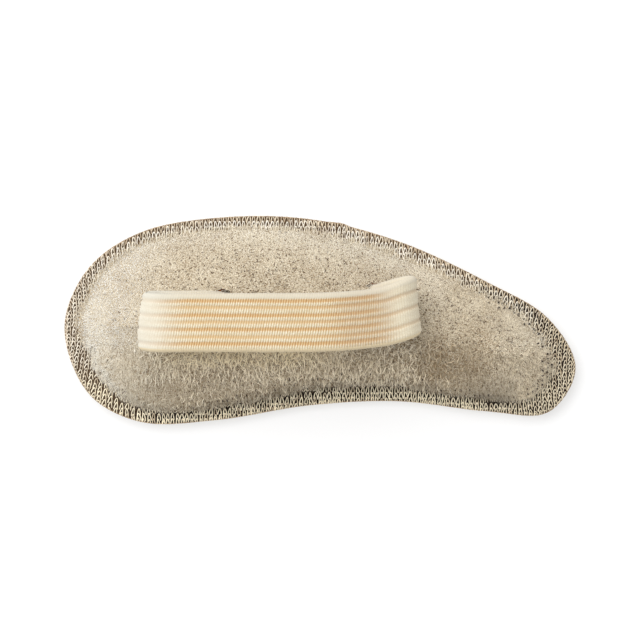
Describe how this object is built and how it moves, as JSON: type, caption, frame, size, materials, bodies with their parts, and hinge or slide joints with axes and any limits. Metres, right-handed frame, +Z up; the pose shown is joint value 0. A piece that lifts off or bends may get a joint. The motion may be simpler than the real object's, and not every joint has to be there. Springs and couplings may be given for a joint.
{
  "type": "hammer toe crest pad",
  "caption": "Curved padded toe crest in brushed knit with a flat pressed rim and a ribbed elastic toe loop, worn under bent toes to lift and support them.",
  "frame": {"origin": "on the surface that the pad lies on, at the middle of its length and width", "axes": "+X along the pad's length towards its narrow end, +Y towards its convex back edge, +Z up out of the dome"},
  "size_m": [0.085, 0.0346, 0.0199],
  "materials": {
    "knit": "brushed cream and brown knit with a short matte nap, pressed flat round the rim",
    "backing": "smooth tan knit with a cut edge",
    "foam": "plain pale foam, hidden inside",
    "elastic": "cream ribbed elastic with tan grooves"
  },
  "bodies": {
    "root": {"base_cover": "backing", "padding": "foam", "top_cover": "knit", "toe_loop": "elastic"}
  },
  "joints": []
}
